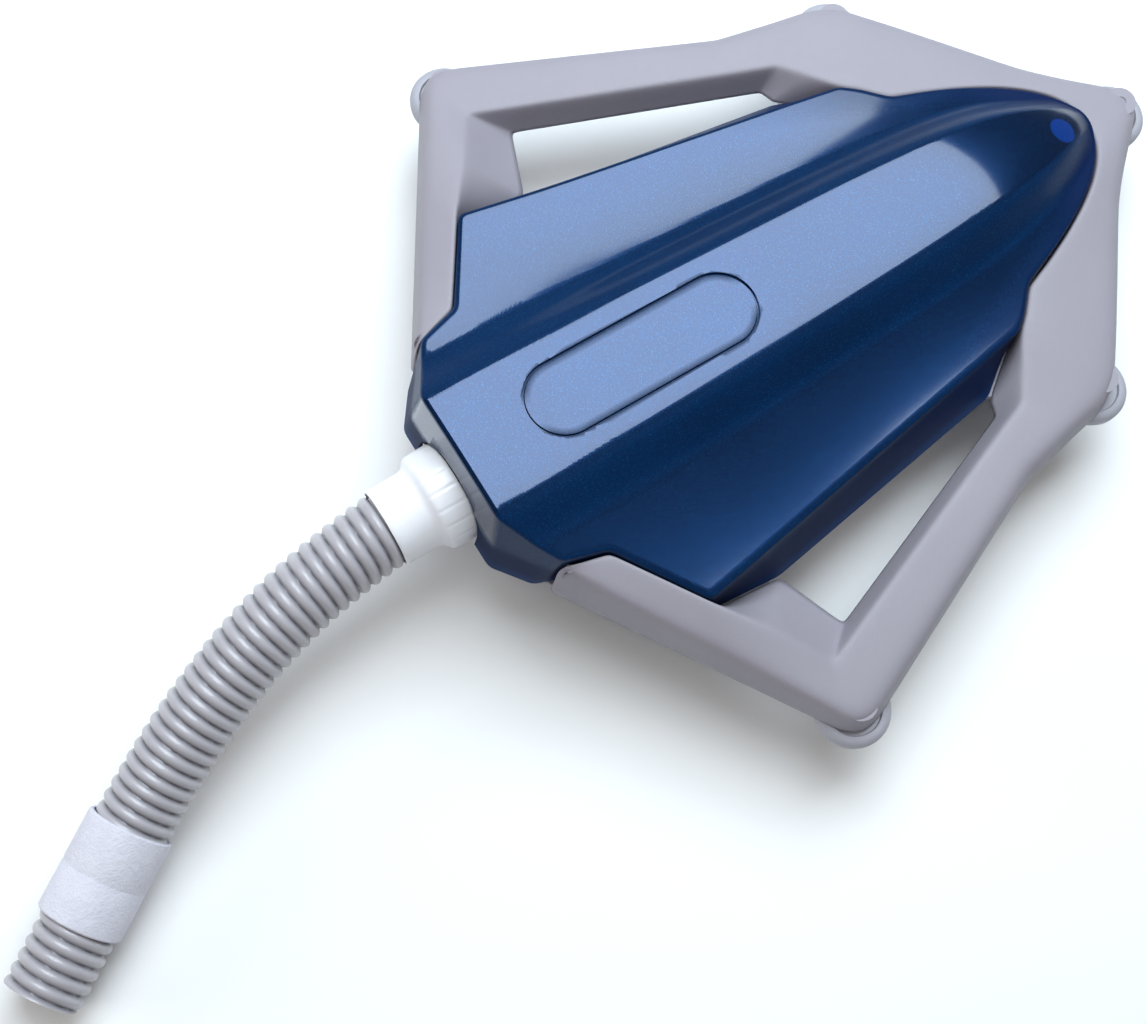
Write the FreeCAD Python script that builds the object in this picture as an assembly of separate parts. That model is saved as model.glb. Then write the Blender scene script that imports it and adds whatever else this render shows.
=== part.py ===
import FreeCAD, Part
import math
import os

# Pool cleaner for above-ground pools, driven by the pressure of its feed hose.
# Millimetres. +X points to the nose, +Z up. The origin lies on the floor, under the
# middle of the body (the hose and its sleeve are left out of that middle).

# ---- driving dimensions ------------------------------------------------------------
RIM_Z = 57.3            # bottom edge of the top shell
FRAME_Z = 56.0          # underside of the bumper frame, top of the base flange
SHELL_WALL = 2.5
FRAME_WALL = 3.2
SEAM_GAP = 1.2          # between shell and frame, all round
FRAME_DRAFT = 4.2       # how far the frame's top edge stands in from its bottom edge

CROWN_TAIL_Z = 112.5    # ridge crown at the tail
CROWN_SLOPE = 0.036     # fall of the crown per mm towards the nose
TAIL_X = -212.0         # foot of the tail face
NOSE_X = 195.0          # tip of the shell
WAIST = (106.0, 63.1)   # where the shell narrows into its nose
NOSE_POWER = 2.1        # roundness of the nose outline

ROLLER_R = 19.5
ROLLER_Z = 49.5
ROLLER_H = 10.4
ROLLER_BORE_R = 4.08
ROLLER_PIN_R = 4.0
ROLLERS = {
    "roller_rear_left": (-94.0, 198.0),
    "roller_rear_right": (-94.0, -198.0),
    "roller_front_left": (114.0, 124.5),
    "roller_front_right": (114.0, -124.5),
    "roller_nose": (222.5, 0.0),
}

FLANGE_H = 3.5
TUB_FLOOR_Z = 12.0
BASE_WALL = 3.0
THROAT_R = 32.0         # vacuum throat, through the middle of the base

WHEEL_R = 14.0
WHEEL_W = 10.0
WHEEL_PIN_R = 2.5
WHEELS = {
    "wheel_rear_left": (-120.0, 98.0),
    "wheel_rear_right": (-120.0, -98.0),
    "wheel_front_left": (74.0, 82.0),
    "wheel_front_right": (74.0, -82.0),
}

FEED_Z = 65.0           # axis of the hose connection
COLLAR_END_X = -242.0
HOSE_R = 19.75
HOSE_BORE_R = 16.0
SLEEVE_R = 22.0
SLEEVE_LENGTH = 52.0

HINGE = (186.0, 74.0)   # lid hinge axis, x and z
KNUCKLE_R = 4.0

JET_Z = 34.0            # axis of the jet ring and of the thrust jet
THRUST_PIPE_R = 7.0
BALL = (-196.0, 0.0, JET_Z)     # ball joint of the thrust nozzle
BALL_R = 8.0
CUP_R = 11.0
TRUNNION_R = 1.6

X = FreeCAD.Vector(1, 0, 0)
Y = FreeCAD.Vector(0, 1, 0)
Z = FreeCAD.Vector(0, 0, 1)

os.makedirs("parts", exist_ok=True)
nodes = {}


# ---- small helpers -----------------------------------------------------------------
def vec(x, y, z):
    return FreeCAD.Vector(x, y, z)


def box(low, high):
    size = vec(*high) - vec(*low)
    return Part.makeBox(size.x, size.y, size.z, vec(*low))


def rod(radius, start, end):
    start, end = vec(*start), vec(*end)
    return Part.makeCylinder(radius, (end - start).Length, start, end - start)


def pipe(outer, inner, start, end):
    return rod(outer, start, end).cut(rod(inner, start, end))


def wire(points):
    return Part.makePolygon([vec(*p) for p in points] + [vec(*points[0])])


def triangle(a, b, c):
    return Part.Face(wire([a, b, c]))


def cap(section):
    if len(section) == 4:
        a, b, c, d = section
        return [triangle(a, b, c), triangle(a, c, d)]
    return [Part.Face(wire(section))]


def ruled(sections):
    """A closed solid through a row of outlines that all have the same number of points."""
    faces = cap(sections[0]) + cap(sections[-1])
    for near, far in zip(sections, sections[1:]):
        for i in range(len(near)):
            j = (i + 1) % len(near)
            faces.append(triangle(near[i], near[j], far[j]))
            faces.append(triangle(near[i], far[j], far[i]))
    solid = Part.makeSolid(Part.makeShell(faces))
    if solid.Volume < 0:
        solid.reverse()
    return solid


def prism(outline, low, high):
    face = Part.Face(wire([(x, y, low) for x, y in outline]))
    return face.extrude(vec(0, 0, high - low))


def both_sides(half):
    """Closes a half outline, given from tail to nose on the left, with its mirror image."""
    return half + [(x, -y) for x, y in reversed(half) if y > 0.01]


def turned(profile, point, axis_dir, up_dir):
    """Turns a profile of (radius, distance along the axis) pairs about an axis."""
    axis_dir, up_dir = vec(*axis_dir), vec(*up_dir)
    line = [vec(*point) + up_dir * r + axis_dir * d for r, d in profile]
    face = Part.Face(Part.makePolygon(line + [line[0]]))
    return face.revolve(vec(*point), axis_dir, 360)


def offset(line, distance):
    """Moves an open line sideways, to the left of its direction when distance is positive.

    A point on the centre line stays on it.
    """
    moved = []
    for i, (x, y) in enumerate(line):
        normals = []
        for a, b in ((i - 1, i), (i, i + 1)):
            if a >= 0 and b < len(line):
                dx, dy = line[b][0] - line[a][0], line[b][1] - line[a][1]
                run = math.hypot(dx, dy)
                normals.append((-dy / run, dx / run))
        nx = sum(n[0] for n in normals)
        ny = sum(n[1] for n in normals)
        scale = distance * len(normals) / (nx * nx + ny * ny)
        if y == 0.0:
            moved.append((x + math.copysign(distance, nx * distance), 0.0))
        else:
            moved.append((x + nx * scale, y + ny * scale))
    return moved


def fused(shapes):
    whole = shapes[0]
    for shape in shapes[1:]:
        whole = whole.fuse(shape)
    return whole.removeSplitter()


def add(name, shapes):
    nodes[name] = Part.makeCompound(shapes) if isinstance(shapes, list) else shapes


# ---- outline of the top shell --------------------------------------------------------
def nose_x(y):
    return NOSE_X - (NOSE_X - WAIST[0]) * (abs(y) / WAIST[1]) ** NOSE_POWER


NOSE_YS = (57.0, 50.0, 43.0, 36.0, 29.0, 22.0, 15.0, 8.0)
NOSE = [(nose_x(y), y) for y in NOSE_YS] + [(NOSE_X, 0.0)]
NOTCH = [(-162.5, 73.0), (-132.5, 118.6)]       # step where the frame's rear arm comes in
SILL_REAR = (-88.9, 122.6)                      # where the side wall leaves the rear arm
SILL_FRONT = (60.2, 100.6)                      # where it meets the front web
SHOULDER = [(85.0, 83.0), (94.3, 75.6), WAIST]
TAIL_TOP = [(-203.4, 35.7), (-185.5, 66.5)]     # at the rim, Z = 99
TAIL_FOOT = [(TAIL_X, 42.0), (-197.5, 61.5)]
TAIL_TOP_Z = 99.0


def shell_outline(z, inset, side):
    """Half outline of the shell at height z; side is how far the window side is let out."""
    t = (z - RIM_Z) / (TAIL_TOP_Z - RIM_Z)
    tail = [(f[0] + (r[0] - f[0]) * t, f[1] + (r[1] - f[1]) * t) for f, r in zip(TAIL_FOOT, TAIL_TOP)]
    rear = [(tail[0][0], 0.0)] + tail + NOTCH + [SILL_REAR]
    front = [SILL_FRONT] + SHOULDER + NOSE
    free = [(SILL_REAR[0], SILL_REAR[1] + side), (SILL_FRONT[0], SILL_FRONT[1] + side)]
    return offset(rear, -inset) + free + offset(front, -inset)


# Stations along the shell: x, crown z, crown half width, foot of the ridge (y, z),
# wing edge (y, z).
def crown_z(x):
    return CROWN_TAIL_Z - CROWN_SLOPE * (x + 201.0)


STATIONS = [
    (-216.0, crown_z(-216), 32.0, 50.0, 99.5, 116.0, 93.5),
    (-160.0, crown_z(-160), 31.5, 50.0, 97.5, 122.8, 92.0),
    (-132.5, crown_z(-132), 31.2, 49.5, 95.5, 118.6, 90.0),
    (-80.0, crown_z(-80), 30.5, 48.0, 91.5, 110.0, 86.0),
    (0.0, crown_z(0), 28.0, 45.0, 88.5, 97.0, 84.0),
    (60.0, crown_z(60), 25.5, 42.5, 86.8, 87.1, 82.6),
    (105.0, crown_z(105), 22.5, 38.0, 85.0, 80.0, 80.5),
    (135.0, 98.0, 19.0, 32.0, 83.0, 75.5, 79.0),
    (160.0, 92.5, 14.0, 24.0, 79.0, 71.0, 77.0),
    (180.0, 84.5, 9.0, 15.0, 76.0, 66.0, 74.0),
    (196.0, 74.5, 5.0, 9.0, 72.0, 62.0, 70.0),
]


def shell_section(station, skin, low):
    x, zc, yc, yv, zv, yw, zw = station
    flare = 0.4
    foot = yw + (zw - low) * flare
    half = [
        (0.0, zc + 1.0 - skin),
        (yc * 0.6, zc + 0.6 - skin),
        (yc, zc - 0.4 - skin),
        (yc + 0.3 * (yv - yc), zc - 0.3 * (zc - zv) - skin),
        (yv, zv - skin),
        (yv + 14.0, zv * 0.75 + zw * 0.25 - skin),
        (yw - skin, zw - skin),
        (foot - skin, low),
    ]
    return [(x, y, z) for y, z in half] + [(x, -y, z) for y, z in reversed(half[1:])]


def shell_body(skin, low):
    bulk = ruled([shell_section(s, skin, low) for s in STATIONS])
    top_z = 125.0
    lower = both_sides(shell_outline(low, skin, 14.0))
    upper = both_sides(shell_outline(top_z, skin, 14.0))
    trim = ruled([[(x, y, low) for x, y in lower], [(x, y, top_z) for x, y in upper]])
    return bulk.common(trim)


# ---- bumper frame ---------------------------------------------------------------------
# Cross sections from the end of the rear arm round to the nose: outer foot, inner top,
# inner foot, height of the outer top edge, height of the inner top edge.
def frame_stations():
    seam_rear = offset([TAIL_TOP[1]] + NOTCH + [SILL_REAR], SEAM_GAP)
    seam_front = offset([SILL_FRONT] + SHOULDER + NOSE, SEAM_GAP)
    nose_in = seam_front[4:]
    arm = [
        ((-192.4, 68.0), (-184.6, 68.0), (-189.0, 65.8), 88.0, 89.0),
        ((-173.4, 98.0), seam_rear[1], seam_rear[1], 85.0, 90.0),
        ((-143.0, 146.0), seam_rear[2], seam_rear[2], 79.0, 90.0),
        ((-124.0, 176.0), (-113.0, 145.5), seam_rear[3], 75.0, 81.5),
        ((-106.3, 204.0), (-96.0, 171.0), (-75.5, 157.5), 71.5, 73.2),
        ((-99.5, 209.8), (-94.0, 172.8), (-74.0, 159.4), 71.0, 73.0),
        ((-89.5, 209.4), (-91.0, 172.2), (-71.0, 158.6), 71.0, 73.0),
    ]
    bar = [
        ((-79.8, 205.4), (-80.0, 168.0), (-60.0, 154.5), 71.3, 73.0),
        ((50.0, 149.4), (45.0, 121.4), (42.0, 117.0), 71.5, 72.8),
        ((84.0, 142.5), (66.9, 113.3), (57.5, 111.3), 71.5, 73.0),
    ]
    web = [
        ((107.0, 138.3), (78.0, 98.5), seam_front[0], 71.5, 75.5),
        ((117.5, 133.2), seam_front[1], seam_front[1], 71.3, 78.3),
        ((125.0, 127.0), seam_front[2], seam_front[2], 71.0, 78.5),
        ((140.0, 109.0), seam_front[3], seam_front[3], 71.0, 78.5),
        ((154.0, 91.7), nose_in[0], nose_in[0], 71.0, 78.0),
        ((168.0, 74.2), nose_in[1], nose_in[1], 70.8, 77.5),
        ((180.0, 59.2), nose_in[2], nose_in[2], 70.5, 77.0),
        ((188.0, 49.5), nose_in[3], nose_in[3], 70.0, 76.0),
        ((198.0, 39.5), nose_in[4], nose_in[4], 69.5, 75.0),
        ((209.0, 29.0), nose_in[5], nose_in[5], 69.0, 74.0),
        ((223.0, 17.0), nose_in[6], nose_in[6], 68.5, 73.0),
        ((232.5, 8.5), nose_in[7], nose_in[7], 68.0, 72.0),
        ((235.0, 0.0), (NOSE_X + SEAM_GAP + 0.8, 0.0), (NOSE_X + SEAM_GAP + 0.8, 0.0), 68.0, 71.5),
    ]
    return arm + bar + web


def frame_quads():
    stations = frame_stations()
    draft = offset([s[0] for s in stations], -FRAME_DRAFT)
    quads = []
    for (foot, top_in, foot_in, z_out, z_in), top_out in zip(stations, draft):
        quads.append([(*foot, FRAME_Z), (*top_out, z_out), (*top_in, z_in), (*foot_in, FRAME_Z)])
    return quads


def hollow_quad(quad):
    """The same cross section, one wall thickness further in and open underneath."""
    foot, top_out, top_in, foot_in = quad

    def towards(a, b, z):
        dx, dy = b[0] - a[0], b[1] - a[1]
        run = math.hypot(dx, dy)
        step = FRAME_WALL + 0.6
        return (a[0] + dx / run * step, a[1] + dy / run * step, z)
    below = FRAME_Z - 1.0
    return [towards(foot, foot_in, below), towards(top_out, top_in, top_out[2] - FRAME_WALL),
            towards(top_in, top_out, top_in[2] - FRAME_WALL), towards(foot_in, foot, below)]


def mirrored_quads(quads):
    other = [[(x, -y, z) for x, y, z in quad] for quad in reversed(quads[:-1])]
    return quads + other


def blend(quad_a, quad_b, t):
    return [tuple(a + (b - a) * t for a, b in zip(p, q)) for p, q in zip(quad_a, quad_b)]


FRAME_SCREWS = [(-166.5, 86.0), (-139.0, 128.0), (84.0, 101.0), (114.0, 78.0), (164.0, 53.0)]
SCREW_SHANK_R = 2.0


def make_frame():
    quads = frame_quads()
    solid = ruled(mirrored_quads(quads))
    start = blend(quads[0], quads[1], 0.45)
    cavity = ruled(mirrored_quads([hollow_quad(q) for q in [start] + quads[1:]]))
    frame = solid.cut(cavity)
    bosses = []
    for x, y in ROLLERS.values():
        bosses.append(rod(8.5, (x, y, FRAME_Z), (x, y, 90.0)))
    for x, y in FRAME_SCREWS:
        for side in (1, -1):
            bosses.append(rod(4.5, (x, y * side, FRAME_Z), (x, y * side, 90.0)))
    frame = frame.fuse(Part.makeCompound([b.common(solid) for b in bosses]))
    for x, y in ROLLERS.values():
        frame = frame.cut(rod(2.98, (x, y, FRAME_Z - 1), (x, y, 65.0)))
    for x, y in FRAME_SCREWS:
        for side in (1, -1):
            frame = frame.cut(rod(SCREW_SHANK_R, (x, y * side, FRAME_Z - 1), (x, y * side, 66.0)))
    return frame


add("bumper_frame", make_frame())

# ---- top shell --------------------------------------------------------------------------
ARCH_R = 28.2


def make_shell():
    shell = shell_body(0.0, RIM_Z).cut(shell_body(SHELL_WALL, RIM_Z - 2.0))
    arch = rod(ARCH_R, (-225, 0, FEED_Z), (-195, 0, FEED_Z))
    doorway = box((-225, -ARCH_R, 40), (-195, ARCH_R, FEED_Z))
    shell = shell.cut(arch.fuse(doorway))
    # The nose part of the rim is cut higher, so that it swings clear of the base flange.
    shell = shell.cut(box((150, -60, 50), (200, 60, 60.5)))
    # The badge field is a shallow pill-shaped recess on the crown.
    pill = fused([rod(20.5, (-144, 0, 100), (-144, 0, 130)), rod(20.5, (-53, 0, 100), (-53, 0, 130)),
                  box((-144, -20.5, 100), (-53, 20.5, 130))])
    sunk = shell_body(0.0, RIM_Z)
    sunk.translate(vec(0, 0, -0.8))
    return shell.cut(pill.cut(sunk))


shell = make_shell()
knuckles = []
for y in (7.0, -7.0):
    ear = box((HINGE[0] - 4, y - 2.5, HINGE[1]), (HINGE[0] + 4, y + 2.5, 92))
    ear = ear.fuse(rod(KNUCKLE_R, (HINGE[0], y - 2.5, HINGE[1]), (HINGE[0], y + 2.5, HINGE[1])))
    knuckles.append(ear.common(shell_body(1.0, RIM_Z)))
shell = fused([shell] + knuckles)
shell = shell.cut(rod(2.06, (HINGE[0], -12, HINGE[1]), (HINGE[0], 12, HINGE[1])))
add("top_shell", shell)

# ---- base pan -----------------------------------------------------------------------------
FLANGE = [(-206.0, 0.0), (-206.0, 38.0), (-194.0, 57.0), (-184.0, 77.0), (-174.0, 91.0), (-146.0, 134.0),
          (-124.0, 134.0), (-92.0, 121.2), (60.0, 98.6), (66.0, 104.0), (90.0, 106.0), (118.0, 84.0),
          (150.0, 69.0), (176.0, 52.0), (195.0, 26.0), (201.5, 0.0)]
TUB_TOP = [(-188.0, 0.0), (-188.0, 42.0), (-140.0, 76.0), (40.0, 70.0), (96.0, 54.0), (148.0, 30.0),
           (160.0, 0.0)]
TUB_FOOT = [(-176.0, 0.0), (-176.0, 34.0), (-130.0, 64.0), (40.0, 60.0), (90.0, 44.0), (136.0, 22.0),
            (146.0, 0.0)]
BULKHEAD_X = -203.0


def tub(inset, low, high):
    lower = both_sides(offset(TUB_FOOT, -inset))
    upper = both_sides(offset(TUB_TOP, -inset))
    return ruled([[(x, y, low) for x, y in lower], [(x, y, high) for x, y in upper]])


def wheel_fork(x, y):
    """Two cheeks that hang from the flange and hold one wheel's pin."""
    cheeks = []
    for side in (-1, 1):
        inner = y + side * (WHEEL_W / 2 + 0.6)
        outer = inner + side * 4.0
        low, high = min(inner, outer), max(inner, outer)
        arm = box((x - 9, low, WHEEL_R), (x + 9, high, FRAME_Z - FLANGE_H))
        eye = rod(9.0, (x, low, WHEEL_R), (x, high, WHEEL_R))
        cheeks.append(arm.fuse(eye))
    return Part.makeCompound(cheeks)


def make_base():
    flange_low = FRAME_Z - FLANGE_H
    base = prism(both_sides(FLANGE), flange_low, FRAME_Z)
    base = base.fuse(tub(0.0, TUB_FLOOR_Z, flange_low))
    for x, y in WHEELS.values():
        base = base.fuse(wheel_fork(x, y))
    base = base.cut(tub(BASE_WALL, TUB_FLOOR_Z + BASE_WALL, FRAME_Z + 1))
    # Skirt round the vacuum throat, close to the floor.
    base = base.fuse(rod(THROAT_R + 9, (0, 0, 6), (0, 0, TUB_FLOOR_Z + 4)))
    base = base.cut(turned([(0, 0), (THROAT_R + 6, 0), (THROAT_R, 8), (THROAT_R, 20), (0, 20)],
                           (0, 0, 5), (0, 0, 1), (1, 0, 0)))
    # Seat for the vacuum tube.
    base = base.cut(rod(36.2, (0, 0, TUB_FLOOR_Z + 1.5), (0, 0, TUB_FLOOR_Z + 6)))
    # Bulkhead that carries the hose connection.
    wall = box((BULKHEAD_X, -30, flange_low), (BULKHEAD_X + 4, 30, FEED_Z))
    wall = wall.fuse(rod(27.0, (BULKHEAD_X, 0, FEED_Z), (BULKHEAD_X + 4, 0, FEED_Z)))
    base = base.fuse(wall.common(box((BULKHEAD_X, -30, 46), (BULKHEAD_X + 4, 30, 100))))
    base = base.cut(rod(16.5, (BULKHEAD_X - 1, 0, FEED_Z), (BULKHEAD_X + 5, 0, FEED_Z)))
    base = base.cut(rod(20.4, (BULKHEAD_X - 4, 0, FEED_Z), (BULKHEAD_X, 0, FEED_Z)))
    base = base.cut(rod(22.4, (BULKHEAD_X + 4, 0, FEED_Z), (-180, 0, FEED_Z)))
    # Leaning hinge post at the nose, between the lid's two knuckles.
    side = [(HINGE[0] - 3.4, -4, HINGE[1] + 2), (163, -4, flange_low), (173, -4, flange_low),
            (HINGE[0] + 1.5, -4, HINGE[1] - 3.7)]
    post = Part.Face(wire(side)).extrude(vec(0, 8, 0))
    post = post.fuse(rod(KNUCKLE_R, (HINGE[0], -4, HINGE[1]), (HINGE[0], 4, HINGE[1])))
    base = base.fuse(post)
    base = base.cut(rod(2.0, (HINGE[0], -5, HINGE[1]), (HINGE[0], 5, HINGE[1])))
    for x, y in FRAME_SCREWS:
        for side in (1, -1):
            base = base.cut(rod(2.3, (x, y * side, 50), (x, y * side, 60)))
    for x, y in WHEELS.values():
        base = base.cut(rod(WHEEL_PIN_R, (x, y - 12, WHEEL_R), (x, y + 12, WHEEL_R)))
    base = base.cut(rod(THRUST_PIPE_R, (-200, 0, JET_Z), (-160, 0, JET_Z)))
    base = base.cut(rod(CUP_R, (-200, 0, JET_Z), (BALL[0] + 10.3, 0, JET_Z)))
    return base.removeSplitter()


add("base_pan", make_base())
add("hinge_pin", rod(1.98, (HINGE[0], -9.4, HINGE[1]), (HINGE[0], 9.4, HINGE[1])))


# ---- bumper rollers, their pins and washers --------------------------------------------------
def make_roller(x, y):
    low, high = ROLLER_Z - ROLLER_H / 2, ROLLER_Z + ROLLER_H / 2
    round_r = 3.6
    body = rod(ROLLER_R, (x, y, low), (x, y, high))
    body = body.makeFillet(round_r, [e for e in body.Edges if e.Length > 100 and e.Closed])
    for z in (low, high - 2.0):
        body = body.cut(pipe(14.0, 7.5, (x, y, z), (x, y, z + 2.0)))
    return body.cut(rod(ROLLER_BORE_R, (x, y, low - 1), (x, y, high + 1)))


pins = []
washers = []
for name, (x, y) in ROLLERS.items():
    add(name, make_roller(x, y))
    low = ROLLER_Z - ROLLER_H / 2 - 0.3
    pin = rod(7.0, (x, y, low - 3.0), (x, y, low)).fuse(rod(ROLLER_PIN_R, (x, y, low), (x, y, FRAME_Z)))
    pin = pin.fuse(rod(2.98, (x, y, FRAME_Z), (x, y, 64.0)))
    pin = pin.cut(box((x - 5, y - 0.8, low - 3), (x + 5, y + 0.8, low - 1.6)))
    pins.append(pin)
    washers.append(pipe(7.5, ROLLER_PIN_R, (x, y, FRAME_Z - 1.0), (x, y, FRAME_Z)))
add("roller_pins", pins)
add("roller_washers", washers)


# ---- floor wheels ------------------------------------------------------------------------------
def make_wheel(x, y):
    half = WHEEL_W / 2
    profile = [(WHEEL_PIN_R + 0.07, -half), (5.5, -half), (6.0, -half + 1.5), (10.5, -half + 1.5),
               (11.0, -half), (WHEEL_R - 1.2, -half), (WHEEL_R, -half + 1.2), (WHEEL_R, half - 1.2),
               (WHEEL_R - 1.2, half), (11.0, half), (10.5, half - 1.5), (6.0, half - 1.5), (5.5, half),
               (WHEEL_PIN_R + 0.07, half)]
    return turned(profile, (x, y, WHEEL_R), (0, 1, 0), (0, 0, 1))


wheel_pins = []
for name, (x, y) in WHEELS.items():
    add(name, make_wheel(x, y))
    wheel_pins.append(rod(WHEEL_PIN_R, (x, y - 9.6, WHEEL_R), (x, y + 9.6, WHEEL_R)))
add("wheel_pins", wheel_pins)

# ---- screws from the flange up into the frame ----------------------------------------------------
screws = []
for x, y in FRAME_SCREWS:
    for side in (1, -1):
        low = FRAME_Z - FLANGE_H
        screw = rod(4.0, (x, y * side, low - 2.6), (x, y * side, low))
        screw = screw.fuse(rod(SCREW_SHANK_R, (x, y * side, low), (x, y * side, 65.0)))
        slot = fused([box((x - 2.5, y * side - 0.6, low - 3), (x + 2.5, y * side + 0.6, low - 1.4)),
                      box((x - 0.6, y * side - 2.5, low - 3), (x + 0.6, y * side + 2.5, low - 1.4))])
        screws.append(screw.cut(slot))
add("frame_screws", screws)

# ---- vacuum tube and its water jets --------------------------------------------------------------
TUBE_TOP_Z = 62.0
tube = pipe(36.0, THROAT_R, (0, 0, TUB_FLOOR_Z + 1.5), (0, 0, TUBE_TOP_Z))
jets = []
jet_rods = []
JET_COUNT = 3
for i in range(JET_COUNT):
    angle = math.radians(60 + 360 / JET_COUNT * i)
    out = vec(math.cos(angle), math.sin(angle), 0)
    foot = out * 37.0 + vec(0, 0, JET_Z - 3.0)
    tip = out * 26.0 + vec(0, 0, JET_Z + 8.0)
    jet_rods.append(rod(3.5, tuple(foot), tuple(tip)))
    jets.append(jet_rods[-1].cut(rod(1.6, tuple(foot), tuple(tip))))
    tube = tube.cut(jet_rods[-1])
add("vacuum_tube", tube)
add("venturi_jets", jets)

ring = pipe(46.0, 36.0, (0, 0, JET_Z - 10), (0, 0, JET_Z + 10))
gallery = pipe(43.0, 39.5, (0, 0, JET_Z - 7), (0, 0, JET_Z + 7))
port = rod(14.0, (-56, 0, JET_Z - 10), (-56, 0, JET_Z + 10)).cut(rod(36.0, (0, 0, 0), (0, 0, 90)))
ring = fused([ring, port]).cut(gallery)
ring = ring.cut(rod(9.0, (-56, 0, JET_Z - 7), (-56, 0, JET_Z + 11)))
ring = ring.cut(rod(5.0, (-75, 0, JET_Z), (-56, 0, JET_Z)))
for jet_rod in jet_rods:
    ring = ring.cut(jet_rod)
add("jet_ring", ring)

# ---- feed line from the hose connection to the jet ring ------------------------------------------
FEED_R = 11.0
tailpiece = pipe(16.44, 13.0, (COLLAR_END_X, 0, FEED_Z), (-196, 0, FEED_Z))
tailpiece = tailpiece.fuse(pipe(19.8, 13.0, (BULKHEAD_X + 4, 0, FEED_Z), (BULKHEAD_X + 7, 0, FEED_Z)))
add("hose_tailpiece", tailpiece)

run = rod(FEED_R, (-196, 0, FEED_Z), (-56, 0, FEED_Z))
drop = rod(FEED_R, (-56, 0, JET_Z + 10), (-56, 0, FEED_Z))
elbow = Part.makeSphere(FEED_R, vec(-56, 0, FEED_Z))
bore = fused([rod(FEED_R - 2, (-196, 0, FEED_Z), (-56, 0, FEED_Z)),
              rod(FEED_R - 2, (-56, 0, JET_Z + 9), (-56, 0, FEED_Z)),
              Part.makeSphere(FEED_R - 2, vec(-56, 0, FEED_Z))])
add("feed_pipe", fused([run, drop, elbow]).cut(bore))

# ---- thrust jet at the tail ------------------------------------------------------------------------
pipe_run = pipe(THRUST_PIPE_R, 5.0, (BALL[0] + 6.2, 0, JET_Z), (-70, 0, JET_Z))
cup = pipe(CUP_R, BALL_R + 0.3, (BALL[0] - 3, 0, JET_Z), (BALL[0] + 8.3, 0, JET_Z))
cup = cup.fuse(pipe(CUP_R, 5.0, (BALL[0] + 8.3, 0, JET_Z), (BALL[0] + 10.3, 0, JET_Z)))
thrust_pipe = fused([cup, pipe_run.cut(Part.makeSphere(BALL_R + 0.3, vec(*BALL)))])
thrust_pipe = thrust_pipe.cut(Part.makeSphere(BALL_R + 0.3, vec(*BALL)))
add("thrust_pipe", thrust_pipe.cut(rod(TRUNNION_R + 0.06, (BALL[0], 0, JET_Z - 12), (BALL[0], 0, JET_Z + 12))))
nozzle = Part.makeSphere(BALL_R, vec(*BALL)).fuse(rod(5.0, (BALL[0] - 14, 0, JET_Z), BALL))
nozzle = nozzle.fuse(rod(TRUNNION_R, (BALL[0], 0, JET_Z - 10.8), (BALL[0], 0, JET_Z + 10.8)))
add("thrust_nozzle", nozzle.cut(rod(3.0, (BALL[0] - 15, 0, JET_Z), (BALL[0] + 9, 0, JET_Z))))

# ---- hose collar, seal, hose and sleeve --------------------------------------------------------------
collar_profile = [(16.5, 0.0), (16.5, -30.5), (20.2, -30.5), (21.0, -29.5), (21.2, -15.0), (23.0, -12.0),
                  (26.6, -12.0), (26.6, -1.0), (25.6, 0.0)]
collar = turned(collar_profile, (COLLAR_END_X + 30.5, 0, FEED_Z), (1, 0, 0), (0, 0, 1))
add("hose_collar", collar)
add("collar_seal", Part.makeTorus(18.1, 1.6, vec(BULKHEAD_X - 1.6, 0, FEED_Z), X))

HOSE_ROUTE = [(-244.4, -0.2, 64.9), (-281.1, -3.5, 63.9), (-327.5, -14.2, 57.7), (-373.2, -30.8, 46.0),
              (-416.7, -52.0, 33.5), (-458.9, -77.3, 24.8), (-500.8, -104.5, 22.2)]


def cord_path(route):
    """Straight runs joined by tangent arcs; each arc is as large as its two runs allow."""
    points = [vec(*p) for p in route]
    edges = []
    start = points[0]
    for before, corner, after in zip(points, points[1:], points[2:]):
        back, ahead = before - corner, after - corner
        half_turn = (math.pi - back.getAngle(ahead)) / 2
        reach = 0.45 * min(back.Length, ahead.Length)
        back.normalize()
        ahead.normalize()
        inward = back + ahead
        inward.normalize()
        radius = reach / math.tan(half_turn)
        print("hose arc radius", round(radius, 1))
        first, last = corner + back * reach, corner + ahead * reach
        middle = corner + inward * (radius / math.cos(half_turn) - radius)
        edges.append(Part.LineSegment(start, first).toShape())
        edges.append(Part.Arc(first, middle, last).toShape())
        start = last
    edges.append(Part.LineSegment(start, points[-1]).toShape())
    return Part.Wire(edges)


def swept(radius, path, start, heading):
    circle = Part.Wire(Part.makeCircle(radius, start, heading))
    return path.makePipeShell([circle], True, True)


hose_path = cord_path(HOSE_ROUTE)
heading = vec(*HOSE_ROUTE[1]) - vec(*HOSE_ROUTE[0])
outer = swept(HOSE_R, hose_path, vec(*HOSE_ROUTE[0]), heading)
inner = swept(HOSE_BORE_R, hose_path, vec(*HOSE_ROUTE[0]), heading)
hose = outer.cut(inner)
section = math.pi * (HOSE_R ** 2 - HOSE_BORE_R ** 2)
print("hose length", round(hose_path.Length, 1), "volume ratio",
      round(hose.Volume / section / hose_path.Length, 4))
add("supply_hose", hose)

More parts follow.
